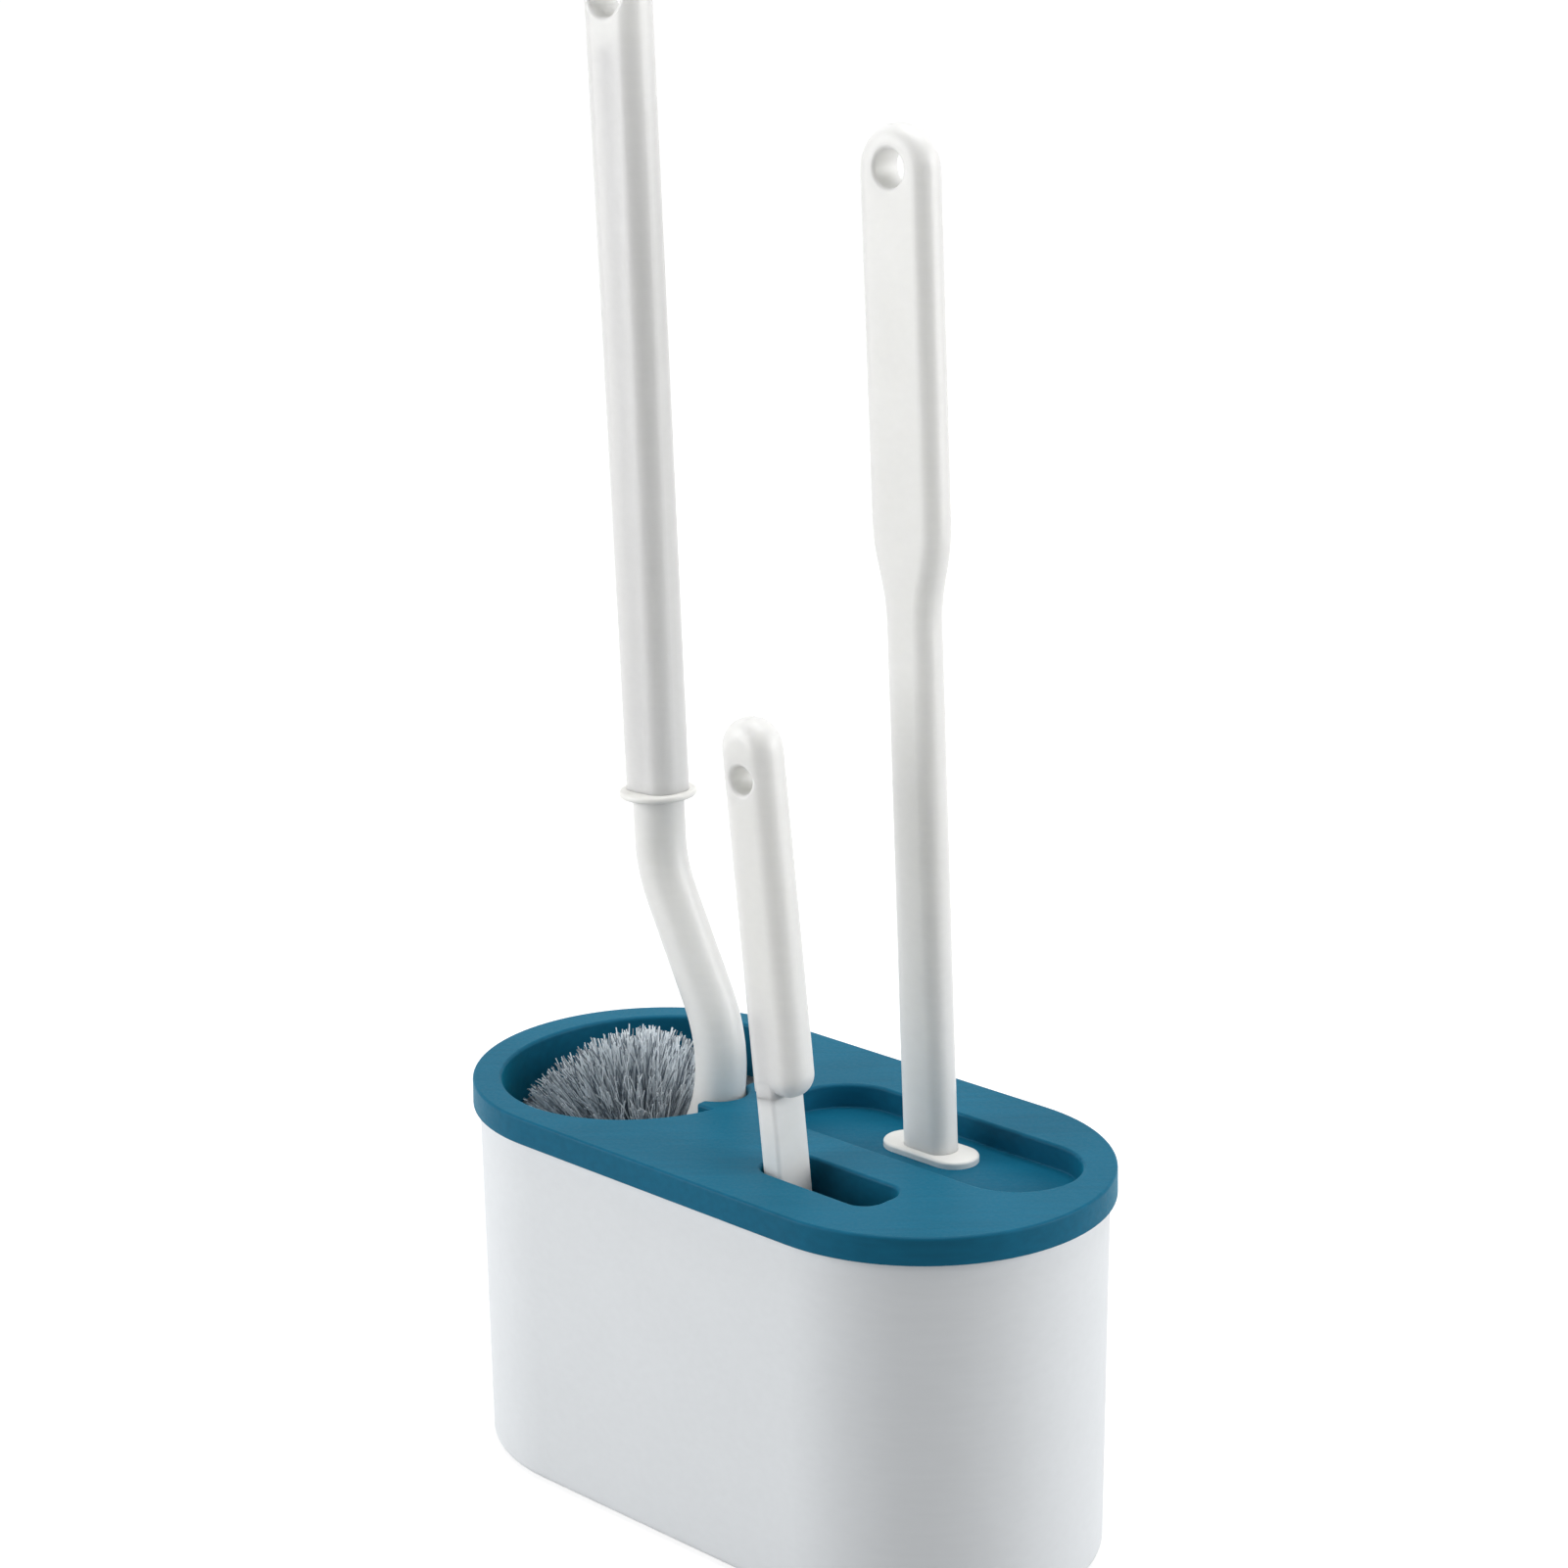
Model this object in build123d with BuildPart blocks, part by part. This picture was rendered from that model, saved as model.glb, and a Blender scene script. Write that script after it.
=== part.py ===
from build123d import *
import os
from math import asin, atan, cos, degrees, hypot, pi, radians, sin, sqrt

# Oval brush holder with a lid, a round toilet brush, a small gap brush and a long flat brush.
# Millimetres. Z is up and the origin is the middle of the cup's underside.
# X runs along the cup towards the flat brush, and the front is towards -Y.

# Cup
end_spacing = 101.4
cup_mouth_radius = 50.6
cup_foot_radius = 49.8
cup_height = 108.1
cup_wall = 2.5
cup_floor = 3.0
cup_foot_fillet = 3.0
cup_inner_fillet = 4.0
cup_rim_fillet = 0.6

# Lid
lid_gap = 0.4
lid_skirt = 1.5
lid_plate = 3.0
lid_rim_height = 7.6
lid_draft = 0.1
lid_edge_fillet = 0.8
lid_mouth_fillet = 0.9
lid_hanging_wall = 2.0

# Round opening in the lid, with the cradle that holds the neck
opening_half_length = 39.0
opening_end_margin = 9.7
opening_side_margin = 9.0
opening_depth = 16.0
cradle_reach = 7.5
cradle_half_width = 11.6
cradle_depth = 10.0
cradle_web = 1.5
cradle_clearance = 1.0
cradle_tip_fillet = 1.3

# Slot in the lid
slot_length = 41.3
slot_width = 16.3
slot_corner = 6.0
slot_x = 41.9
slot_y = -26.4
slot_depth = 12.0
slot_end_clearance = 1.45

# Tray sunk into the lid, with the hole that the flat brush goes through
tray_straight = 61.6
tray_radius = 18.0
tray_depth = 7.0
tray_floor = 2.2
tray_x = 40.8
tray_y = 14.2
tray_floor_fillet = 0.5
tray_hole_length = 28.0
tray_hole_width = 11.0

# Toilet brush handle
handle_lean = 2.3
handle_width = 20.4
handle_foot_width = 17.7
handle_thickness = 11.9
handle_foot_thickness = 14.0
handle_round = 5.7
handle_length = 229.2
handle_bore_radius = 4.6
handle_bore_margin = 14.0
handle_hole_radius = 6.0
handle_hole_drop = 12.6
hole_edge_fillet = 1.0
joint_ring_radius = 10.9
joint_ring_thickness = 2.0
joint_ring_fillet = 0.9
joint_clearance = 0.1
spigot_length = 24.0

# Toilet brush neck
neck_radius = 7.25
neck_peak = 8.0
neck_slant = 27.0
neck_lower_bend = 42.0
neck_upper_bend = 38.0
neck_run = 30.5
neck_straight = 12.2
neck_return = 57.0
neck_stub = 16.7
neck_spigot_radius = 4.5
neck_spigot_length = 9.0

# Round bristle head
core_radius = 12.0
core_skin = 1.0
core_boss_wall = 2.0
head_half_length = 33.8
head_half_width = 41.3
head_crown = 47.0
head_foot = 38.0
strand_width = 1.2
strand_pitch = 3.0
strand_row_pitch = 4.4
strand_sink = 0.4
strand_clearance = 0.6
floor_clearance = 4.5

# Gap brush
gap_lean = 6.45
gap_blade_y = -27.05
gap_grip_width = 17.6
gap_grip_thickness = 11.4
gap_grip_height = 121.8
gap_grip_round = 5.3
gap_grip_overhang = 1.8
gap_grip_proud = 0.12
gap_root_height = 9.0
gap_grip_bottom = 19.5
gap_lip_round = 6.5
gap_hole_radius = 3.8
gap_hole_drop = 16.0
gap_blade_width = 7.65
gap_blade_thickness = 12.0
gap_blade_left_round = 2.8
gap_blade_round = 1.2
gap_tenon_length = 22.0
gap_tenon_shoulder = 2.2
gap_tuft_plate = 1.6
gap_tuft_length = 34.0
gap_tuft_width = 8.6
gap_tuft_foot = 7.0
gap_bristle_length = 16.0
gap_bristle_rows = 15
gap_bristle_columns = 4

# Flat brush
flat_lean = 2.3
flat_x = 37.9
flat_y = 18.5
flat_shaft_width = 16.1
flat_thickness = 9.8
flat_round = 4.6
flat_grip_width = 24.2
flat_taper_bottom = 153.5
flat_taper_top = 169.5
flat_taper_fillet = 50.0
flat_top = 277.8
flat_hole_radius = 5.0
flat_hole_drop = 11.3
flat_shaft_below = 16.0
flat_tenon_length = 12.0
flat_tenon_shoulder = 2.2
flange_length = 30.4
flange_width = 13.9
flange_thickness = 2.0
flange_fillet = 0.8
flat_head_width = 25.0
flat_head_thickness = 8.6
flat_head_shoulder = 12.0
flat_head_length = 34.0
flat_tuft_plate = 2.5
flat_bristle_length = 30.0
flat_bristle_rows = 4
flat_bristle_columns = 12
bristle_margin = 1.3

# Heights and places that follow from the sizes above
lid_top = cup_height + lid_plate
lid_radius = cup_mouth_radius + lid_gap + lid_skirt
lid_rim_bottom = lid_top - lid_rim_height
opening_half_width = lid_radius - opening_side_margin
opening_x = opening_end_margin + opening_half_length - end_spacing / 2 - lid_radius
opening_right = opening_x + opening_half_length
cradle_tip_x = opening_right - cradle_reach
neck_x = opening_right - cradle_web - cradle_clearance - neck_radius
tray_bottom = lid_top - tray_depth
slot_left = slot_x - slot_length / 2

# The neck runs in the plane y = 0, as an arc of the lower bend about this centre
bend_x = neck_x - sqrt(neck_lower_bend**2 - neck_peak**2)
bend_z = lid_top + neck_peak
neck_end_x = bend_x + neck_lower_bend * cos(radians(neck_return))
neck_end_z = bend_z - neck_lower_bend * sin(radians(neck_return))
stub_way = Vector(sin(radians(neck_return)), 0, cos(radians(neck_return)))
head_top = Vector(neck_end_x, 0, neck_end_z) - stub_way * neck_stub
head_x = head_top.X
skin_radius = core_radius + joint_clearance + core_skin
head_bottom_z = cup_floor + floor_clearance + head_foot


def leaning_front(x, y, z, lean):
    """Plane facing the front whose own Y axis goes up along a handle that leans towards -X."""
    tilt = radians(lean)
    return Plane(origin=(x, y, z), x_dir=(cos(tilt), 0, sin(tilt)), z_dir=(0, -1, 0))


def across(front, height):
    """Plane square to a leaning handle, at a height along it, with its Z axis up the handle."""
    return Plane(origin=front.from_local_coords((0, height, 0)), x_dir=front.x_dir, z_dir=front.y_dir)


def strand(root, tip):
    """One bristle: a square prism from root to tip."""
    way = tip - root
    return extrude(Plane(origin=root, z_dir=way) * Rectangle(strand_width, strand_width), way.length)


def hole_rims(handle, radius):
    """Edges at both ends of a hanging hole of this radius."""
    walls = handle.faces().filter_by(GeomType.CYLINDER).filter_by(
        lambda face: abs(face.radius - radius) < joint_clearance
    )
    return walls.edges().filter_by(GeomType.LINE, reverse=True)


def evenly(count, width):
    """Places of a number of bristles, spread evenly over a width about zero."""
    return [width * (place / (count - 1) - 0.5) for place in range(count)]


# Cup: a tapered oval shell with a flat underside
cup_draft = degrees(atan((cup_mouth_radius - cup_foot_radius) / cup_height))
with BuildPart() as cup:
    with BuildSketch():
        SlotCenterToCenter(end_spacing, 2 * cup_foot_radius)
    extrude(amount=cup_height, taper=-cup_draft)
    fillet(cup.edges().group_by(Axis.Z)[0], cup_foot_fillet)
    with BuildSketch(Plane.XY.offset(cup_floor)):
        SlotCenterToCenter(end_spacing, 2 * (cup_foot_radius - cup_wall))
    extrude(amount=cup_height - cup_floor, taper=-cup_draft, mode=Mode.SUBTRACT)
    inner_floor = cup.faces().filter_by(Axis.Z).sort_by(Axis.Z)[1]
    fillet(inner_floor.edges(), cup_inner_fillet)
    fillet(cup.edges().group_by(Axis.Z)[-1], cup_rim_fillet)
cup.part.label = "cup"

# Lid: a plate with a drafted rim, walls that hang round its openings, and a sunk tray
lid_draft_angle = degrees(atan(lid_draft / lid_rim_height))
with BuildPart() as lid:
    with BuildSketch(Plane.XY.offset(lid_rim_bottom)):
        SlotCenterToCenter(end_spacing, 2 * lid_radius)
    extrude(amount=lid_rim_height, taper=lid_draft_angle)
    with BuildSketch(Plane.XY.offset(lid_rim_bottom)):
        SlotCenterToCenter(end_spacing, 2 * (cup_mouth_radius + lid_gap))
    extrude(amount=lid_rim_height - lid_plate, mode=Mode.SUBTRACT)

    with BuildSketch(Plane.XY.offset(cup_height)):
        with Locations((opening_x, 0)):
            Ellipse(opening_half_length + lid_hanging_wall, opening_half_width + lid_hanging_wall)
    extrude(amount=lid_plate - opening_depth)
    with BuildSketch(Plane.XY.offset(cup_height)):
        with Locations((slot_x, slot_y)):
            RectangleRounded(
                slot_length + 2 * lid_hanging_wall,
                slot_width + 2 * lid_hanging_wall,
                slot_corner + lid_hanging_wall,
            )
    extrude(amount=lid_plate - slot_depth)
    with BuildSketch(Plane.XY.offset(cup_height)):
        with Locations((tray_x, tray_y)):
            SlotCenterToCenter(tray_straight, 2 * (tray_radius + lid_hanging_wall))
    extrude(amount=lid_plate - tray_depth - tray_floor)

    with BuildSketch(Plane.XY.offset(lid_top)) as cradled_opening:
        with BuildLine():
            for start in (0, 90, 180, 270):
                EllipticalCenterArc(
                    (opening_x, 0), opening_half_length, opening_half_width, start, arc_size=90
                )
        make_face()
        with Locations((cradle_tip_x, 0)):
            Rectangle(
                2 * cradle_reach,
                2 * cradle_half_width,
                align=(Align.MIN, Align.CENTER),
                mode=Mode.SUBTRACT,
            )
        with Locations((neck_x, 0)):
            Circle(neck_radius + cradle_clearance)
        cradle_tips = cradled_opening.vertices().filter_by_position(
            Axis.X, cradle_tip_x - joint_clearance, cradle_tip_x + joint_clearance
        )
        fillet(cradle_tips, cradle_tip_fillet)
    extrude(amount=-cradle_depth, mode=Mode.SUBTRACT)
    with BuildSketch(Plane.XY.offset(lid_top - cradle_depth)):
        with Locations((opening_x, 0)):
            Ellipse(opening_half_length, opening_half_width)
    extrude(amount=cradle_depth - opening_depth, mode=Mode.SUBTRACT)
    with BuildSketch(Plane.XY.offset(lid_top)):
        with Locations((slot_x, slot_y)):
            RectangleRounded(slot_length, slot_width, slot_corner)
    extrude(amount=-slot_depth, mode=Mode.SUBTRACT)
    with BuildSketch(Plane.XY.offset(lid_top)):
        with Locations((tray_x, tray_y)):
            SlotCenterToCenter(tray_straight, 2 * tray_radius)
    extrude(amount=-tray_depth, mode=Mode.SUBTRACT)
    tray_face = lid.faces().filter_by(Axis.Z).filter_by_position(
        Axis.Z, tray_bottom - joint_clearance, tray_bottom + joint_clearance
    )
    fillet(tray_face.edges(), tray_floor_fillet)
    with BuildSketch(Plane.XY.offset(tray_bottom)):
        with Locations((flat_x, flat_y)):
            SlotOverall(tray_hole_length, tray_hole_width)
    extrude(amount=-tray_floor, mode=Mode.SUBTRACT)

    fillet(lid.faces().sort_by(Axis.Z)[-1].inner_wires().edges(), lid_mouth_fillet)
    fillet(lid.faces().sort_by(Axis.Z)[-1].outer_wire().edges(), lid_edge_fillet)
lid.part.label = "lid"

# Line of the toilet brush's neck, from the middle of its head up to the joint ring
with BuildLine(Plane.XZ) as neck_line:
    stub = Line((head_top.X, head_top.Z), (neck_end_x, neck_end_z))
    lower_bend = JernArc(stub @ 1, stub % 1, neck_lower_bend, neck_return + neck_slant)
    run = Line(lower_bend @ 1, lower_bend @ 1 + lower_bend % 1 * neck_run)
    upper_bend = JernArc(run @ 1, run % 1, neck_upper_bend, handle_lean - neck_slant)
    Line(upper_bend @ 1, upper_bend @ 1 + upper_bend % 1 * neck_straight)
neck_wire = neck_line.wire()
neck_top = neck_wire @ 1
toilet_front = leaning_front(neck_top.X, 0, neck_top.Z, handle_lean)

# Neck: a round bar along that line, with a spigot at each end
with BuildPart() as curved_neck:
    with BuildSketch(Plane(origin=neck_top, z_dir=-(neck_wire % 1))):
        Circle(neck_radius)
    sweep(path=neck_wire)
    with BuildSketch(Plane(origin=head_top, z_dir=stub_way)):
        Circle(2 * neck_radius)
    extrude(amount=skin_radius + core_boss_wall, mode=Mode.SUBTRACT)
    with BuildSketch(Plane(origin=head_top + stub_way * (skin_radius + core_boss_wall), z_dir=-stub_way)):
        Circle(neck_spigot_radius)
    extrude(amount=neck_spigot_length)
    with BuildSketch(across(toilet_front, 0)):
        Circle(handle_bore_radius - joint_clearance)
    extrude(amount=joint_ring_thickness + spigot_length)
curved_neck.part.label = "curved_neck"

# Ring between the neck and the long handle
with BuildPart() as joint_ring:
    with BuildSketch(across(toilet_front, 0)):
        Circle(joint_ring_radius)
    extrude(amount=joint_ring_thickness)
    fillet(joint_ring.edges(), joint_ring_fillet)
    with BuildSketch(across(toilet_front, 0)):
        Circle(handle_bore_radius)
    extrude(amount=joint_ring_thickness, mode=Mode.SUBTRACT)
joint_ring.part.label = "joint_ring"

# Long handle: a bar that widens and thins towards its round top, with a hanging hole and a spigot bore
handle_foot = joint_ring_thickness
handle_top = handle_foot + handle_length
handle_rise = handle_length - handle_width / 2
handle_reach = hypot(handle_foot_width / 2, handle_rise)
handle_flare = asin(handle_width / 2 / handle_reach) - atan(handle_foot_width / 2 / handle_rise)
flare_x = handle_width / 2 * cos(handle_flare)
flare_y = handle_foot + handle_rise - handle_width / 2 * sin(handle_flare)
with BuildPart() as long_handle:
    with BuildSketch(toilet_front):
        with BuildLine():
            Polyline(
                (-handle_foot_width / 2, handle_foot),
                (handle_foot_width / 2, handle_foot),
                (flare_x, flare_y),
                (-flare_x, flare_y),
                close=True,
            )
        make_face()
        with Locations((0, handle_foot + handle_rise)):
            Circle(handle_width / 2)
    extrude(amount=handle_foot_thickness, both=True)
    with BuildSketch(Plane(origin=neck_top, x_dir=(0, 1, 0), z_dir=toilet_front.x_dir)):
        with BuildLine():
            Polyline(
                (-handle_foot_thickness / 2, handle_foot),
                (handle_foot_thickness / 2, handle_foot),
                (handle_thickness / 2, handle_top),
                (-handle_thickness / 2, handle_top),
                close=True,
            )
        make_face()
    extrude(amount=handle_width, both=True, mode=Mode.INTERSECT)
    foot_edges = long_handle.faces().sort_by(Axis.Z)[0].edges()
    long_edges = long_handle.edges().filter_by(lambda edge: abs(edge.tangent_at(0.5).Y) < 0.5)
    fillet([edge for edge in long_edges if edge not in foot_edges], handle_round)
    with BuildSketch(toilet_front):
        with Locations((0, handle_top - handle_hole_drop)):
            Circle(handle_hole_radius)
    extrude(amount=handle_foot_thickness, both=True, mode=Mode.SUBTRACT)
    fillet(hole_rims(long_handle, handle_hole_radius), hole_edge_fillet)
    with BuildSketch(across(toilet_front, joint_ring_thickness)):
        Circle(handle_bore_radius)
    extrude(amount=handle_length - handle_hole_drop - handle_bore_margin, mode=Mode.SUBTRACT)
long_handle.part.label = "long_handle"

# Round head: a capsule core with a socket for the neck's spigot
head_axis = Axis((head_x, 0, 0), (0, 0, 1))
head_front = Plane(origin=(head_x, 0, 0), x_dir=(1, 0, 0), z_dir=(0, -1, 0))
core_middle = (head_top.Z + head_bottom_z) / 2
core_straight = head_top.Z - head_bottom_z
boss_radius = neck_spigot_radius + core_boss_wall
socket_plane = Plane(origin=head_top, z_dir=stub_way)
boss_reach = skin_radius + core_boss_wall
with BuildPart() as round_core:
    with BuildSketch(head_front):
        with Locations((0, core_middle)):
            SlotCenterToCenter(core_straight, 2 * core_radius, rotation=90)
        split(bisect_by=Plane.YZ)
    revolve(axis=head_axis)
    with BuildSketch(socket_plane):
        Circle(boss_radius)
    extrude(amount=boss_reach)
    with BuildSketch(socket_plane.offset(boss_reach)):
        Circle(neck_spigot_radius + joint_clearance)
    extrude(amount=-neck_spigot_length - joint_clearance, mode=Mode.SUBTRACT)
round_core.part.label = "round_core"


def core_places():
    """Roots and tips of the round head's bristles, in rings from the crown to the foot."""
    quarter = skin_radius * pi / 2
    ring_count = int((2 * quarter + core_straight) / strand_row_pitch)
    places = []
    for ring in range(ring_count):
        along = (ring + 0.5) * (2 * quarter + core_straight) / ring_count
        if along < quarter:
            slope, ring_z, reach = (quarter - along) / skin_radius, head_top.Z, head_crown
        elif along < quarter + core_straight:
            slope, ring_z, reach = 0, head_top.Z - along + quarter, head_crown
        else:
            slope, ring_z, reach = (quarter + core_straight - along) / skin_radius, head_bottom_z, head_foot
        count = max(3, round(2 * pi * skin_radius * cos(slope) / strand_pitch))
        for step in range(count):
            turn = 2 * pi * (step + 0.5 * (ring % 2)) / count
            way = Vector(cos(slope) * cos(turn), cos(slope) * sin(turn), sin(slope))
            middle = Vector(head_x, 0, ring_z)
            root = middle + way * (skin_radius - strand_sink)
            tip = middle + Vector(way.X * head_half_length, way.Y * head_half_width, way.Z * reach)
            places.append((root, tip))
    return places


# Round bristles: strands that stand on a thin skin round the core, clear of the neck
neck_room = neck_radius + strand_width + strand_clearance
round_strands = [
    strand(root, tip)
    for root, tip in core_places()
    if neck_wire.distance_to(Edge.make_line(root, tip)) > neck_room
]
with BuildPart() as round_bristles:
    with BuildSketch(head_front):
        with Locations((0, core_middle)):
            SlotCenterToCenter(core_straight, 2 * skin_radius, rotation=90)
            SlotCenterToCenter(
                core_straight, 2 * (core_radius + joint_clearance), rotation=90, mode=Mode.SUBTRACT
            )
        split(bisect_by=Plane.YZ)
    revolve(axis=head_axis)
    with BuildSketch(socket_plane):
        Circle(boss_radius + joint_clearance)
    extrude(amount=boss_reach, mode=Mode.SUBTRACT)
    add(round_strands)
round_bristles.part.label = "round_bristles"

# Gap brush: its front plane has its origin on the blade's left face at the lid's top
gap_front = leaning_front(slot_left + slot_end_clearance, gap_blade_y, lid_top, gap_lean)
grip_front = gap_front.offset((gap_blade_thickness - gap_grip_thickness) / 2 + gap_grip_proud)
grip_middle = gap_grip_width / 2 - gap_grip_overhang
gap_bottom = -(lid_top - cup_floor - floor_clearance) / cos(radians(gap_lean))
gap_tenon_width = gap_blade_width - 2 * gap_tenon_shoulder
gap_tenon_thickness = gap_blade_thickness - 2 * gap_tenon_shoulder
gap_tuft_middle = gap_bottom + gap_tuft_foot + gap_tuft_length / 2

with BuildPart() as gap_grip:
    with BuildSketch(grip_front) as grip_outline:
        with Locations((grip_middle, gap_grip_bottom)):
            Rectangle(
                gap_grip_width,
                gap_grip_height - gap_grip_width / 2 - gap_grip_bottom,
                align=(Align.CENTER, Align.MIN),
            )
        with Locations((grip_middle, gap_grip_height - gap_grip_width / 2)):
            Circle(gap_grip_width / 2)
        lip_corner = grip_outline.vertices().group_by(Axis.Y)[0].sort_by(Axis.X)[-1]
        fillet(lip_corner, gap_lip_round)
    extrude(amount=gap_grip_thickness / 2, both=True)
    fillet(gap_grip.edges().filter_by(lambda edge: abs(edge.tangent_at(0.5).Y) < 0.5), gap_grip_round)
    with BuildSketch(across(grip_front, gap_grip_bottom)) as root_section:
        with Locations((gap_blade_width / 2, 0)):
            Rectangle(gap_blade_width, gap_grip_thickness - 2 * gap_grip_proud)
        fillet(root_section.vertices().group_by(Axis.X)[0], gap_blade_left_round)
        fillet(root_section.vertices().group_by(Axis.X)[-1], gap_blade_round)
    extrude(amount=gap_root_height)
    with BuildSketch(grip_front):
        with Locations((grip_middle, gap_grip_height - gap_hole_drop)):
            Circle(gap_hole_radius)
    extrude(amount=gap_grip_thickness, both=True, mode=Mode.SUBTRACT)
    fillet(hole_rims(gap_grip, gap_hole_radius), hole_edge_fillet)
    with BuildSketch(across(gap_front, gap_grip_bottom)):
        with Locations((gap_blade_width / 2, 0)):
            Rectangle(gap_tenon_width + 2 * joint_clearance, gap_tenon_thickness + 2 * joint_clearance)
    extrude(amount=gap_tenon_length + joint_clearance, mode=Mode.SUBTRACT)
gap_grip.part.label = "gap_grip"

with BuildPart() as gap_blade:
    with BuildSketch(across(gap_front, gap_bottom)) as blade_section:
        with Locations((gap_blade_width / 2, 0)):
            Rectangle(gap_blade_width, gap_blade_thickness)
        fillet(blade_section.vertices().group_by(Axis.X)[0], gap_blade_left_round)
        fillet(blade_section.vertices().group_by(Axis.X)[-1], gap_blade_round)
    extrude(amount=gap_grip_bottom - gap_bottom)
    with BuildSketch(across(gap_front, gap_grip_bottom)):
        with Locations((gap_blade_width / 2, 0)):
            Rectangle(gap_tenon_width, gap_tenon_thickness)
    extrude(amount=gap_tenon_length)
    with BuildSketch(gap_front):
        with Locations((gap_blade_width, gap_tuft_middle)):
            Rectangle(
                gap_tuft_plate + joint_clearance,
                gap_tuft_length + 2 * joint_clearance,
                align=(Align.MAX, Align.CENTER),
            )
    extrude(amount=gap_tuft_width / 2 + joint_clearance, both=True, mode=Mode.SUBTRACT)
gap_blade.part.label = "gap_blade"

gap_strands = []
for up in evenly(gap_bristle_rows, gap_tuft_length - 2 * bristle_margin):
    for side in evenly(gap_bristle_columns, gap_tuft_width - 2 * bristle_margin):
        gap_root = gap_front.from_local_coords((gap_blade_width - strand_sink, gap_tuft_middle + up, side))
        gap_strands.append(strand(gap_root, gap_root + gap_front.x_dir * (gap_bristle_length + strand_sink)))
with BuildPart() as gap_bristles:
    with BuildSketch(gap_front):
        with Locations((gap_blade_width, gap_tuft_middle)):
            Rectangle(gap_tuft_plate, gap_tuft_length, align=(Align.MAX, Align.CENTER))
    extrude(amount=gap_tuft_width / 2, both=True)
    add(gap_strands)
gap_bristles.part.label = "gap_bristles"

# Flat brush: its front plane has its origin on the tray's floor
flat_front = leaning_front(flat_x, flat_y, tray_bottom, flat_lean)
flat_tenon_width = flat_shaft_width - 2 * flat_tenon_shoulder
flat_tenon_thickness = flat_thickness - 2 * flat_tenon_shoulder
flat_head_top = -flat_shaft_below
flat_head_foot = flat_head_top - flat_head_length

with BuildPart() as flat_handle:
    with BuildSketch(flat_front) as handle_outline:
        with Locations((0, flat_head_top)):
            Rectangle(
                flat_shaft_width, flat_taper_bottom - flat_head_top, align=(Align.CENTER, Align.MIN)
            )
        with BuildLine():
            Polyline(
                (-flat_shaft_width / 2, flat_taper_bottom),
                (flat_shaft_width / 2, flat_taper_bottom),
                (flat_grip_width / 2, flat_taper_top),
                (-flat_grip_width / 2, flat_taper_top),
                close=True,
            )
        make_face()
        with Locations((0, flat_taper_top)):
            Rectangle(
                flat_grip_width,
                flat_top - flat_grip_width / 2 - flat_taper_top,
                align=(Align.CENTER, Align.MIN),
            )
        with Locations((0, flat_top - flat_grip_width / 2)):
            Circle(flat_grip_width / 2)
        taper_corners = handle_outline.vertices().filter_by_position(
            Axis.Y, flat_taper_bottom - joint_clearance, flat_taper_top + joint_clearance
        )
        fillet(taper_corners, flat_taper_fillet)
    extrude(amount=flat_thickness / 2, both=True)
    shaft_foot = flat_handle.faces().sort_by(Axis.Z)[0].edges()
    flat_edges = flat_handle.edges().filter_by(lambda edge: abs(edge.tangent_at(0.5).Y) < 0.5)
    fillet([edge for edge in flat_edges if edge not in shaft_foot], flat_round)
    with BuildSketch(flat_front):
        with Locations((0, flat_top - flat_hole_drop)):
            Circle(flat_hole_radius)
    extrude(amount=flat_thickness, both=True, mode=Mode.SUBTRACT)
    fillet(hole_rims(flat_handle, flat_hole_radius), hole_edge_fillet)
    with BuildSketch(across(flat_front, flat_head_top)):
        Rectangle(flat_tenon_width, flat_tenon_thickness)
    extrude(amount=-flat_tenon_length)
flat_handle.part.label = "flat_handle"

with BuildPart() as seat_flange:
    with BuildSketch(Plane.XY.offset(tray_bottom)):
        with Locations((flat_x, flat_y)):
            SlotOverall(flange_length, flange_width)
    extrude(amount=flange_thickness)
    fillet(seat_flange.edges().group_by(Axis.Z)[-1], flange_fillet)
    with BuildSketch(across(flat_front, 0)):
        RectangleRounded(
            flat_shaft_width + 2 * joint_clearance,
            flat_thickness + 2 * joint_clearance,
            flat_round + joint_clearance,
        )
    extrude(amount=2 * flange_thickness, both=True, mode=Mode.SUBTRACT)
seat_flange.part.label = "seat_flange"

with BuildPart() as flat_head:
    with BuildSketch(across(flat_front, flat_head_foot)):
        SlotOverall(flat_head_width, flat_head_thickness)
    extrude(amount=flat_head_length)
    with BuildSketch(flat_front):
        with BuildLine():
            Polyline(
                (-flat_shaft_width / 2, flat_head_top),
                (flat_shaft_width / 2, flat_head_top),
                (flat_head_width / 2, flat_head_top - flat_head_shoulder),
                (flat_head_width / 2, flat_head_foot),
                (-flat_head_width / 2, flat_head_foot),
                (-flat_head_width / 2, flat_head_top - flat_head_shoulder),
                close=True,
            )
        make_face()
    extrude(amount=flat_head_thickness, both=True, mode=Mode.INTERSECT)
    with BuildSketch(across(flat_front, flat_head_top)):
        Rectangle(flat_tenon_width + 2 * joint_clearance, flat_tenon_thickness + 2 * joint_clearance)
    extrude(amount=-flat_tenon_length - joint_clearance, mode=Mode.SUBTRACT)
flat_head.part.label = "flat_head"

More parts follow.
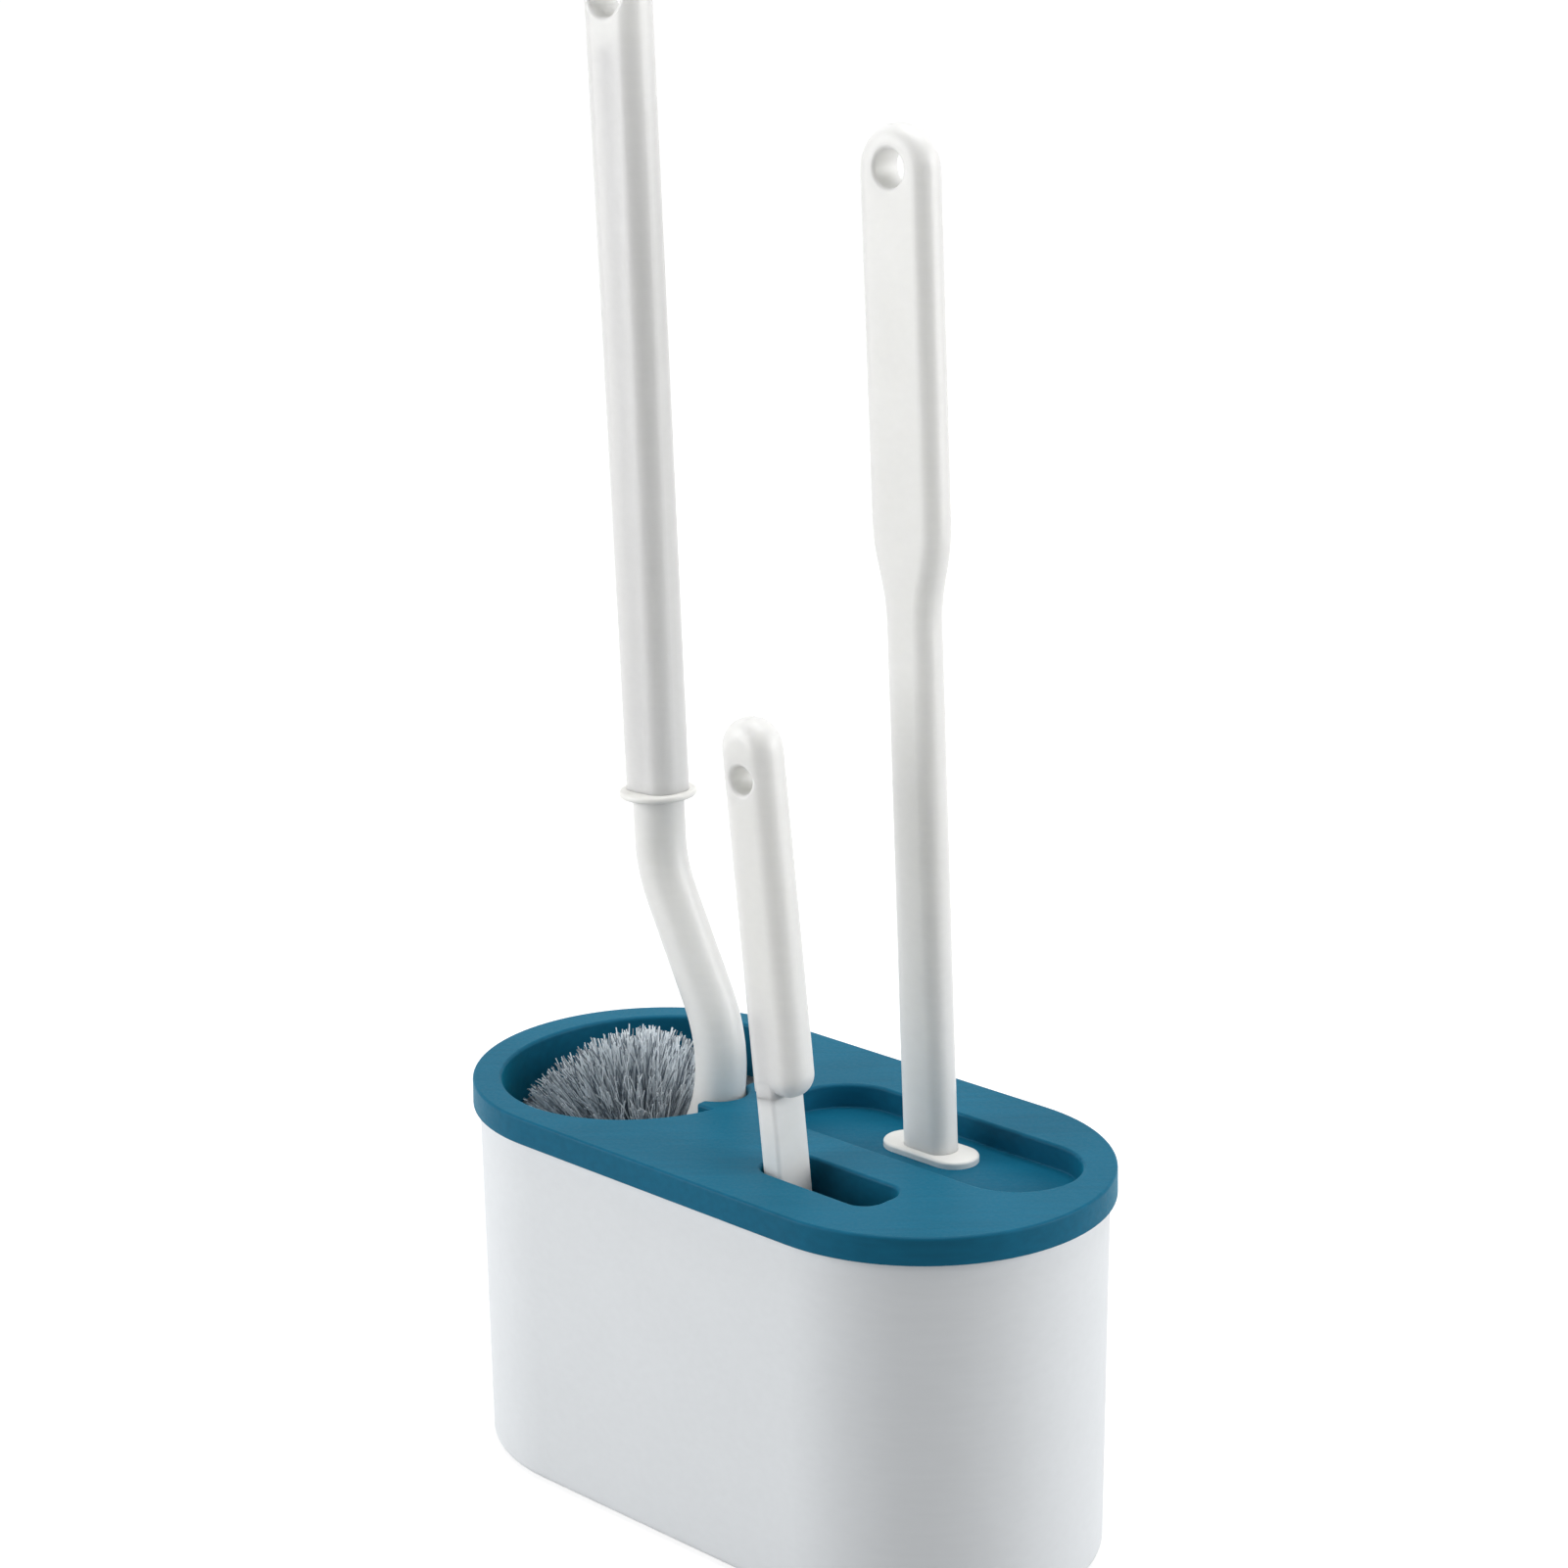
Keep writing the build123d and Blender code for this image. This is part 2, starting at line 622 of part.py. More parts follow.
flat_strands = []
flat_end_radius = flat_head_thickness / 2
for side in evenly(flat_bristle_rows, flat_head_thickness - 2 * bristle_margin):
    row_length = flat_head_width - 2 * (flat_end_radius - sqrt(flat_end_radius**2 - side**2))
    for along in evenly(flat_bristle_columns, row_length - 2 * bristle_margin):
        root_height = flat_head_foot - flat_tuft_plate + strand_sink
        flat_root = flat_front.from_local_coords((along, root_height, side))
        flat_strands.append(strand(flat_root, flat_root - flat_front.y_dir * flat_bristle_length))
with BuildPart() as flat_bristles:
    with BuildSketch(across(flat_front, flat_head_foot)):
        SlotOverall(flat_head_width, flat_head_thickness)
    extrude(amount=-flat_tuft_plate)
    add(flat_strands)
flat_bristles.part.label = "flat_bristles"

pieces = (
    cup,
    lid,
    long_handle,
    joint_ring,
    curved_neck,
    round_core,
    round_bristles,
    gap_grip,
    gap_blade,
    gap_bristles,
    flat_handle,
    seat_flange,
    flat_head,
    flat_bristles,
)
os.makedirs("parts", exist_ok=True)
for piece in pieces:
    export_step(piece.part, f"parts/{piece.part.label}.step")
print("bristles", len(round_strands), len(gap_strands), len(flat_strands))
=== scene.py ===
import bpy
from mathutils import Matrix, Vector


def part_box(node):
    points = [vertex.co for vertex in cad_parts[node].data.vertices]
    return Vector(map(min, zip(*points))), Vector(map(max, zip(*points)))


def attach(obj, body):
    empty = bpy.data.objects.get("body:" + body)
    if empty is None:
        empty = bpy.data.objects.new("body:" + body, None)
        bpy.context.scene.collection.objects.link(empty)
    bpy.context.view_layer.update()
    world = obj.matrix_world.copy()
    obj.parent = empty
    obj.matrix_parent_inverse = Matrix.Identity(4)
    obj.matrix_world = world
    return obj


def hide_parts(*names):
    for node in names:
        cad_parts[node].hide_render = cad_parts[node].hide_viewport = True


bl_info = {
    "name": "Brush Holder Looks",
    "version": (1, 0, 0),
    "blender": (4, 5, 0),
    "location": "View3D > Sidebar > Brush Holder",
    "description": "Finishes, full bristles and a studio for an oval holder with three brushes",
    "category": "Object",
}

import math
from typing import NamedTuple

import bpy
import numpy as np
from bpy.props import FloatProperty, FloatVectorProperty, IntProperty, PointerProperty
from bpy.types import Operator, Panel, PropertyGroup
from mathutils import Matrix, Vector
from mathutils.bvhtree import BVHTree

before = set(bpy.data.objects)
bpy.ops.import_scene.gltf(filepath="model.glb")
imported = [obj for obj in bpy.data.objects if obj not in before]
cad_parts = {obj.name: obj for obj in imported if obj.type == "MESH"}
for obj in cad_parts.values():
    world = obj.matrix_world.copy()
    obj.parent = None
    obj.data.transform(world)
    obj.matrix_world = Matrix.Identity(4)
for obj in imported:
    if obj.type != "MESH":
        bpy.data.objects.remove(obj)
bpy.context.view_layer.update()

# CAD nodes by the finish that they take
CUP_NODES = ("cup",)
LID_NODES = ("lid",)
HANDLE_NODES = ("long_handle", "curved_neck", "gap_grip", "gap_blade", "flat_handle")
CREAM_NODES = ("joint_ring", "seat_flange")
CORE_NODES = ("round_core", "flat_head")

# Span that most of a noise texture's values lie in
NOISE_SPAN = (0.3, 0.7)

# Scale in features a metre, and detail, of the noise patterns in the plastics
CLOUDS = (45.0, 3.0)
FLOW_LINES = (500.0, 3.0)
GLOSS_PATCHES = (900.0, 2.0)
WAVES = (160.0, 2.0)
SKIN_GRAIN = (3200.0, 2.0)

# Turn about the upright axis in radians, and stretch, of the flow lines
FLOW_TURN = 0.77
FLOW_STRETCH = (12.0, 1.0, 1.0)

# Swing of the plastics' roughness to either side
ROUGHNESS_SWING = 0.05

# Strength of the waves in the plastics, and depths of the waves and the skin grain in metres
WAVE_STRENGTH = 0.05
WAVE_DEPTH = 0.0008
GRAIN_DEPTH = 0.00006

# Share of the light that sinks into a translucent plastic, and how far its red, green and blue go
SUNK_LIGHT = 0.7
SUNK_REACH = (1.0, 1.0, 0.96)

# Strength and roughness of the sheen on a satin plastic
SHEEN_WEIGHT = 0.25
SHEEN_ROUGHNESS = 0.45

# Roughness of the bristles' filament
FILAMENT_ROUGHNESS = 0.3

# Sides of a bristle, and the lengths that it is drawn in from its root up: each one's share of the height
# and how much it thins
BRISTLE_SIDES = 3
BRISTLE_STEPS = ((0.35, 0.98), (0.27, 0.97), (0.22, 0.96), (0.16, 0.9))

# Half waves of a bristle's crimp
CRIMP_WAVES = 2.3

# Share of a bristle's way that goes up, past which it counts as upright
UPRIGHT_SHARE = 0.9

# Shares of dark bristles and of dark and middle ones, the tints of all three kinds, and how much tints vary
# from bristle to bristle and, as painted glints, along each bristle
DARK_SHARE = 0.3
MIDDLE_SHARE = 0.55
DARK_TINT = 0.1
MIDDLE_TINT = 0.55
LIGHT_TINT = 1.0
TINT_AND_GLINT_SPREAD = 0.08

# Painted light along a bristle: the share of its tint at its root, darker there as painted shade, and what
# the tip adds as a painted highlight
ROOT_PAINTED_SHADE = 0.6
TIP_PAINTED_HIGHLIGHT = 1.0

# Longest bend of a bristle as a multiple of the usual one
BEND_LIMIT = 1.2

# Usual bow and crimp of the bristles in metres, on the round head and on the two smaller brushes
HEAD_BOW = 0.0009
HEAD_CRIMP = 0.0010
SMALL_BOW = 0.0003
SMALL_CRIMP = 0.0001

# Reach of the round head as a multiple of an even oval's, by its bristles' slope in degrees, away from the
# neck and towards it
SHOULDER_SLOPES = (0, 20, 34, 47, 55, 75)
FREE_REACH = (0.97, 1.04, 1.08, 1.03, 1.0, 0.98)
NECK_REACH = (0.97, 0.93, 0.88, 0.88, 0.92, 0.98)

# Span of the cosine of a bristle's turn over which its reach changes from one to the other
NECK_SIDE = (-0.3, 0.3)

# Shortest and longest bristle as shares of the reach, on the round head and on the two smaller brushes
HEAD_LENGTHS = (0.955, 1.005)
SMALL_LENGTHS = (0.95, 1.0)

# Share of a head tuft's fan that its roots have, the least cosine of a slope that its turns are widened by,
# and the fewest tufts in a ring
ROOT_FAN = 0.35
POLE_COSINE = 0.3
FEWEST_TUFTS = 3

# Shares of a bristle's length at which it is tested for the neck
NECK_TESTS = (0.3, 0.5, 0.7, 0.85, 1.0)

# Spread of a small tuft's roots in metres, how many times wider its tips spread, and the bare edge that
# is left round the small tufts besides twice a bristle's thickness, in metres
SMALL_SPREAD = 0.00045
SMALL_TIP_SPREAD = 1.6
TUFT_MARGIN = 0.0006

# Steps of the tuft plates' roundings, and the share of a plate's half width that its round ends take
CORNER_STEPS = 10
EDGE_STEPS = 2
ROUND_END = 0.99

# Size of the studio's floor and how far it lies below the cup, in metres, with its colour and roughness
FLOOR_SIZE = 40.0
FLOOR_DROP = 0.0003
FLOOR_GREY = (0.5, 0.5, 0.5)
FLOOR_ROUGHNESS = 0.9

# Glow of the floor near the holder, and the distances in metres between which it rises to full white
NEAR_GLOW = 0.72
NEAR_FLOOR = 0.22
FAR_FLOOR = 0.7

# Size and places of the softboxes, and where they aim, in metres
SOFTBOX_SIZE = 1.3
LEFT_PLACE = (-0.90, -1.28, 0.50)
RIGHT_PLACE = (1.45, 0.85, 0.50)
TOP_PLACE = (0.0, 0.2, 1.8)
SOFTBOX_AIM = (0.0, 0.0, 0.18)

# How far the camera sees, in metres
CAMERA_REACH = 100.0


class Plastic(NamedTuple):
    """How a moulded plastic looks, besides its colour"""

    shade: float  # brightness of the darkest clouds, as a share of the colour
    roughness: float
    gloss: float  # level of the mirror light
    grain: float  # strength of the skin grain
    depth: float = 0.0  # metres that light sinks in
    sheen: tuple = None  # tint of the sheen, where there is one
    flow: float = 0.01  # strength of the flow lines


CUP_PLASTIC = Plastic(shade=0.985, roughness=0.5, gloss=0.3, grain=0.25)
LID_PLASTIC = Plastic(shade=0.9, roughness=0.46, gloss=0.1, grain=0.3, sheen=(0.0, 0.7, 1.0), flow=0.07)
HANDLE_PLASTIC = Plastic(shade=0.97, roughness=0.34, gloss=0.5, grain=0.15, depth=0.009)
CREAM_PLASTIC = Plastic(shade=0.98, roughness=0.36, gloss=0.5, grain=0.15)
CORE_PLASTIC = Plastic(shade=0.96, roughness=0.45, gloss=0.4, grain=0.2)


# Settings


def colour(name, description, default):
    """A colour that a user may change."""
    return FloatVectorProperty(
        name=name, description=description, subtype="COLOR", size=3, min=0, max=1, default=default
    )


def length(name, description, default):
    """A length in metres that a user may change."""
    return FloatProperty(name=name, description=description, unit="LENGTH", precision=4, default=default)


def angle(name, description, degrees):
    """An angle that a user may change, given in degrees."""
    return FloatProperty(
        name=name, description=description, subtype="ANGLE", default=math.radians(degrees)
    )


def number(name, description, default):
    """A count that a user may change."""
    return IntProperty(name=name, description=description, min=1, default=default)


def power(name, description, default):
    """A lamp's power in watts that a user may change."""
    return FloatProperty(name=name, description=description, unit="POWER", default=default)


class HolderColours(PropertyGroup):
    """Colours of the mouldings and the bristles"""

    cup: colour("Cup", "Cool white of the cup", (0.83, 0.86, 0.885))
    lid: colour("Lid", "Steel blue of the lid", (0.006, 0.120, 0.215))
    handle: colour("Handles", "Warm white of the handles", (0.87, 0.87, 0.85))
    cream: colour("Ring and flange", "Creamy white of the small fittings", (0.95, 0.945, 0.91))
    core: colour("Brush cores", "White of the hidden cores and heads", (0.80, 0.80, 0.78))
    bristle_dark: colour("Dark bristles", "Grey of the darkest bristles", (0.11, 0.145, 0.185))
    bristle_light: colour("Light bristles", "Grey of the lightest bristles", (0.89, 0.955, 1.0))


class BristleSizes(PropertyGroup):
    """Sizes of the bristles on the three brushes"""

    thickness: length("Bristle thickness", "Diameter of one bristle at its root", 0.00046)
    head_crown: length("Crown reach", "From the core's upper middle to the crown's tips", 0.047)
    head_foot: length("Foot reach", "From the core's lower middle to the foot's tips", 0.038)
    sink: length("Root sink", "How far a bristle's root goes into what carries it", 0.0003)
    crown_pitch: length("Crown tuft pitch", "Distance between tufts on the core's upper half", 0.0011)
    crown_strands: number("Bristles a crown tuft", "Bristles in one tuft of the crown", 4)
    skirt_pitch: length("Skirt tuft pitch", "Distance between tufts on the core's lower half", 0.0027)
    skirt_strands: number("Bristles a skirt tuft", "Bristles in one tuft of the skirt", 13)
    crown_fan: angle("Crown fan", "How far the bristles of a crown tuft fan out", 1.3)
    skirt_fan: angle("Skirt fan", "How far the bristles of a skirt tuft fan out", 4.3)
    small_pitch: length("Small tuft pitch", "Distance between tufts on the two smaller brushes", 0.0021)
    small_strands: number("Bristles a small tuft", "Bristles in a tuft of the smaller brushes", 14)
    neck_room: length("Neck room", "Least gap between a bristle and the neck", 0.0004)
    seed: IntProperty(name="Seed", description="Seed of the bristles' small irregularities", default=7)


class SmallBrushes(PropertyGroup):
    """Angles at which the two smaller brushes stand, and the plates of their tufts"""

    gap_lean: angle("Gap brush lean", "Lean of the gap brush towards the round brush", 6.45)
    flat_lean: angle("Flat brush lean", "Lean of the flat brush towards the round brush", 2.3)
    gap_plate: length("Gap tuft plate", "Thickness of the plate that holds the gap brush's tufts", 0.0016)
    flat_plate: length("Flat tuft plate", "Thickness of the plate that holds the flat brush's tufts", 0.0025)
    plate_edge: length("Plate edge", "Rounding of the plates' edges", 0.0003)


class StudioSettings(PropertyGroup):
    """Camera and light of the studio"""

    lens: FloatProperty(
        name="Lens", description="Focal length", subtype="DISTANCE_CAMERA", default=81.19
    )
    place: FloatVectorProperty(
        name="Camera place",
        description="Where the camera stands",
        subtype="TRANSLATION",
        unit="LENGTH",
        size=3,
        default=(0.6368, -0.6550, 0.4707),
    )
    azimuth: angle("Azimuth", "Turn of the camera round the holder", 44.13)
    elevation: angle("Elevation", "How far the camera looks down", 16.18)
    roll: angle("Roll", "Turn of the camera about its own line of sight", -0.643)
    left_power: power("Left softbox", "Power of the softbox at the left", 23.0)
    right_power: power("Right softbox", "Power of the softbox at the right", 23.5)
    top_power: power("Top softbox", "Power of the softbox above", 20.0)
    ambient: FloatProperty(
        name="Ambient", description="Strength of the light from all round", min=0, default=0.04
    )


class HolderSettings(PropertyGroup):
    """All settings of the brush holder"""

    colours: PointerProperty(type=HolderColours)
    bristles: PointerProperty(type=BristleSizes)
    small_brushes: PointerProperty(type=SmallBrushes)
    studio: PointerProperty(type=StudioSettings)


# Materials


def empty_material(name):
    """A material with a Principled shader, its node tree and that shader."""
    material = bpy.data.materials.new(name)
    material.use_nodes = True
    tree = material.node_tree
    return material, tree, tree.nodes["Principled BSDF"]


def object_place(tree):
    """Object coordinates, which stay with a piece as it moves."""
    return tree.nodes.new("ShaderNodeTexCoord").outputs["Object"]


def noise_at(tree, place, scale, detail):
    """A noise texture's value at a place, with scale in features a metre."""
    noise = tree.nodes.new("ShaderNodeTexNoise")
    noise.inputs["Scale"].default_value = scale
    noise.inputs["Detail"].default_value = detail
    tree.links.new(place, noise.inputs["Vector"])
    return noise.outputs["Fac"]


def spread(tree, value, low, high):
    """Maps a noise value from its usual span to low and high."""
    span = tree.nodes.new("ShaderNodeMapRange")
    span.inputs["From Min"].default_value = NOISE_SPAN[0]
    span.inputs["From Max"].default_value = NOISE_SPAN[1]
    span.inputs["To Min"].default_value = low
    span.inputs["To Max"].default_value = high
    tree.links.new(value, span.inputs["Value"])
    return span.outputs["Result"]


def blend(tree, share, first, second):
    """A colour between two colours, by a share that comes from another node."""
    mix = tree.nodes.new("ShaderNodeMix")
    mix.data_type = "RGBA"
    mix.inputs["A"].default_value = (*first, 1)
    mix.inputs["B"].default_value = (*second, 1)
    tree.links.new(share, mix.inputs["Factor"])
    return mix.outputs["Result"]


def add_bump(tree, height, strength, distance, normal=None):
    """A bump node, chained after another one's normal if that is given."""
    bump = tree.nodes.new("ShaderNodeBump")
    bump.inputs["Strength"].default_value = strength
    bump.inputs["Distance"].default_value = distance
    tree.links.new(height, bump.inputs["Height"])
    if normal is not None:
        tree.links.new(normal, bump.inputs["Normal"])
    return bump.outputs["Normal"]


def flow_lines(tree, place, shade, strength):
    """A colour with faint streaks in it, as plastic leaves where it flowed into the mould."""
    turn = tree.nodes.new("ShaderNodeMapping")
    turn.vector_type = "TEXTURE"
    turn.inputs["Rotation"].default_value = (0, 0, FLOW_TURN)
    turn.inputs["Scale"].default_value = FLOW_STRETCH
    tree.links.new(place, turn.inputs["Vector"])
    lines = noise_at(tree, turn.outputs["Vector"], *FLOW_LINES)
    streaks = tree.nodes.new("ShaderNodeHueSaturation")
    tree.links.new(spread(tree, lines, 1 - strength, 1 + strength), streaks.inputs["Value"])
    tree.links.new(shade, streaks.inputs["Color"])
    return streaks.outputs["Color"]


def moulded_plastic(name, base, finish):
    """Moulded plastic: faint clouds and flow lines in its colour, uneven gloss and a fine skin grain."""
    material, tree, shader = empty_material(name)
    if finish.depth > 0:
        shader.inputs["Subsurface Weight"].default_value = SUNK_LIGHT
        shader.inputs["Subsurface Radius"].default_value = SUNK_REACH
        shader.inputs["Subsurface Scale"].default_value = finish.depth
    if finish.sheen is not None:
        shader.inputs["Sheen Weight"].default_value = SHEEN_WEIGHT
        shader.inputs["Sheen Roughness"].default_value = SHEEN_ROUGHNESS
        shader.inputs["Sheen Tint"].default_value = (*finish.sheen, 1)
    place = object_place(tree)
    clouds = spread(tree, noise_at(tree, place, *CLOUDS), 0.0, 1.0)
    shade = blend(tree, clouds, base, [channel * finish.shade for channel in base])
    tree.links.new(flow_lines(tree, place, shade, finish.flow), shader.inputs["Base Color"])
    patches = spread(
        tree,
        noise_at(tree, place, *GLOSS_PATCHES),
        finish.roughness - ROUGHNESS_SWING,
        finish.roughness + ROUGHNESS_SWING,
    )
    tree.links.new(patches, shader.inputs["Roughness"])
    waves = add_bump(tree, noise_at(tree, place, *WAVES), WAVE_STRENGTH, WAVE_DEPTH)
    skin = add_bump(tree, noise_at(tree, place, *SKIN_GRAIN), finish.grain, GRAIN_DEPTH, waves)
    tree.links.new(skin, shader.inputs["Normal"])
    shader.inputs["Specular IOR Level"].default_value = finish.gloss
    return material


def bristle_material(name, colours):
    """Bristle filament whose grey follows each bristle's own tint, with its painted shade, painted highlight
    and painted glints.
    """
    material, tree, shader = empty_material(name)
    tint = tree.nodes.new("ShaderNodeAttribute")
    tint.attribute_name = "tint"
    grey = blend(tree, tint.outputs["Fac"], colours.bristle_dark, colours.bristle_light)
    tree.links.new(grey, shader.inputs["Base Color"])
    shader.inputs["Roughness"].default_value = FILAMENT_ROUGHNESS
    return material


def seen_by_eye(tree, strength, otherwise=0.0):
    """A strength for camera, glossy and transmission rays, and another one for the rest."""
    path = tree.nodes.new("ShaderNodeLightPath")
    seen = path.outputs["Is Camera Ray"]
    for ray in ("Is Glossy Ray", "Is Transmission Ray"):
        either = tree.nodes.new("ShaderNodeMath")
        either.operation = "MAXIMUM"
        tree.links.new(seen, either.inputs[0])
        tree.links.new(path.outputs[ray], either.inputs[1])
        seen = either.outputs["Value"]
    choice = tree.nodes.new("ShaderNodeMapRange")
    choice.inputs["To Min"].default_value = otherwise
    choice.inputs["To Max"].default_value = strength
    tree.links.new(seen, choice.inputs["Value"])
    return choice.outputs["Result"]


def studio_white(name):
    """Floor that keeps the holder's shadow, and glows to full white with distance where it is seen."""
    material, tree, shader = empty_material(name)
    shader.inputs["Base Color"].default_value = (*FLOOR_GREY, 1)
    shader.inputs["Roughness"].default_value = FLOOR_ROUGHNESS
    shader.inputs["Specular IOR Level"].default_value = 0.0
    shader.inputs["Emission Color"].default_value = (1, 1, 1, 1)
    distance = tree.nodes.new("ShaderNodeVectorMath")
    distance.operation = "LENGTH"
    tree.links.new(object_place(tree), distance.inputs[0])
    rise = tree.nodes.new("ShaderNodeMapRange")
    rise.inputs["From Min"].default_value = NEAR_FLOOR
    rise.inputs["From Max"].default_value = FAR_FLOOR
    rise.inputs["To Min"].default_value = NEAR_GLOW
    rise.inputs["To Max"].default_value = 1.0
    tree.links.new(distance.outputs["Value"], rise.inputs["Value"])
    seen = tree.nodes.new("ShaderNodeMath")
    seen.operation = "MULTIPLY"
    tree.links.new(rise.outputs["Result"], seen.inputs[0])
    tree.links.new(seen_by_eye(tree, 1.0), seen.inputs[1])
    tree.links.new(seen.outputs["Value"], shader.inputs["Emission Strength"])
    return material


def dress(nodes, material):
    """Gives CAD nodes their material."""
    for name in nodes:
        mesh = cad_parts[name].data
        mesh.materials.clear()
        mesh.materials.append(material)


# Bristles


def model_bristle():
    """One bristle, a unit high and a unit in radius: a stem with few sides that thins towards its tip."""
    bpy.ops.object.select_all(action="DESELECT")
    bpy.ops.mesh.primitive_circle_add(vertices=BRISTLE_SIDES, radius=1.0, fill_type="NGON")
    pattern = bpy.context.active_object
    bpy.ops.object.mode_set(mode="EDIT")
    bpy.ops.mesh.select_all(action="SELECT")
    for rise, thinning in BRISTLE_STEPS:
        bpy.ops.mesh.extrude_region_move(TRANSFORM_OT_translate={"value": (0, 0, rise)})
        bpy.ops.transform.resize(value=(thinning, thinning, 1))
    bpy.ops.mesh.select_all(action="SELECT")
    bpy.ops.mesh.normals_make_consistent(inside=False)
    bpy.ops.object.mode_set(mode="OBJECT")
    points = np.array([vertex.co for vertex in pattern.data.vertices])
    faces = [tuple(face.vertices) for face in pattern.data.polygons]
    bpy.data.meshes.remove(pattern.data)
    return points, faces


def bends(chance, size, shape):
    """Small random ways to bend bristles by, none much longer than size."""
    return np.clip(chance.normal(0, size, shape), -BEND_LIMIT * size, BEND_LIMIT * size)


def bristle_tints(chance, count):
    """Tints of a mix of dark, middle and light bristles."""
    kind = chance.random(count)
    pale = np.where(kind < MIDDLE_SHARE, MIDDLE_TINT, LIGHT_TINT)
    tint = np.where(kind < DARK_SHARE, DARK_TINT, pale)
    return np.clip(tint + chance.normal(0, TINT_AND_GLINT_SPREAD, count), 0, 1)


def plant_bristles(name, roots, tips, bow, crimp, thickness, material, chance):
    """Copies the bristle from each root to its tip into one mesh, each copy bowed, crimped and tinted, with
    painted shade at its root, a painted highlight towards its tip and painted glints along it.
    """
    sways = bends(chance, bow, roots.shape)
    kinks = bends(chance, crimp, roots.shape)
    tints = bristle_tints(chance, len(roots))
    pattern, faces = model_bristle()
    ways = tips - roots
    up = ways / np.linalg.norm(ways, axis=1, keepdims=True)
    helper = np.where(np.abs(up[:, 2:3]) < UPRIGHT_SHARE, [[0.0, 0.0, 1.0]], [[1.0, 0.0, 0.0]])
    side = np.cross(up, helper)
    side /= np.linalg.norm(side, axis=1, keepdims=True)
    other = np.cross(up, side)
    rise = pattern[:, 2]
    # A bow is widest halfway up, and a crimp grows towards the tip
    bowed = 4 * rise * (1 - rise)
    crimped = rise * np.sin(CRIMP_WAVES * math.pi * rise)
    points = (
        roots[:, None, :]
        + ways[:, None, :] * rise[None, :, None]
        + side[:, None, :] * pattern[None, :, 0:1] * thickness / 2
        + other[:, None, :] * pattern[None, :, 1:2] * thickness / 2
        + bowed[None, :, None] * sways[:, None, :]
        + crimped[None, :, None] * kinks[:, None, :]
    )
    count = len(pattern)
    # Painted light along each bristle: darker at the root as painted shade, paler towards the tip as a
    # painted highlight
    tint_with_painted_light = tints[:, None] * (ROOT_PAINTED_SHADE + TIP_PAINTED_HIGHLIGHT * rise[None, :] ** 2)
    # Random painted glints along each bristle
    tint_with_painted_light = tint_with_painted_light + chance.normal(0, TINT_AND_GLINT_SPREAD, (len(roots), count))
    copies = [
        tuple(corner + count * strand for corner in face) for strand in range(len(roots)) for face in faces
    ]
    mesh = bpy.data.meshes.new(name)
    mesh.from_pydata(points.reshape(-1, 3), [], copies)
    # The tint attribute holds each bristle's own tint together with its painted shade, painted highlight and
    # painted glints
    tint = mesh.attributes.new("tint", "FLOAT", "POINT")
    tint.data.foreach_set("value", np.clip(tint_with_painted_light, 0, 1).astype(np.float32).ravel())
    mesh.materials.append(material)
    piece = bpy.data.objects.new(name, mesh)
    bpy.context.scene.collection.objects.link(piece)
    return piece


def clear_of_neck(roots, tips, room):
    """Which bristles stay clear of the toilet brush's neck."""
    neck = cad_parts["curved_neck"].data
    tree = BVHTree.FromPolygons(
        [vertex.co for vertex in neck.vertices], [face.vertices for face in neck.polygons]
    )
    clear = np.ones(len(roots), bool)
    for step in NECK_TESTS:
        for index, point in enumerate(roots + (tips - roots) * step):
            if clear[index]:
                near = Vector(point)
                spot, normal, _, gap = tree.find_nearest(near)
                outside = (near - spot).dot(normal) > 0
                clear[index] = outside and gap > room
    return clear


def ways_out(slopes, turns):
    """Directions that rise by a slope and turn about the upright axis."""
    return np.stack(
        (np.cos(slopes) * np.cos(turns), np.cos(slopes) * np.sin(turns), np.sin(slopes)), axis=-1
    )


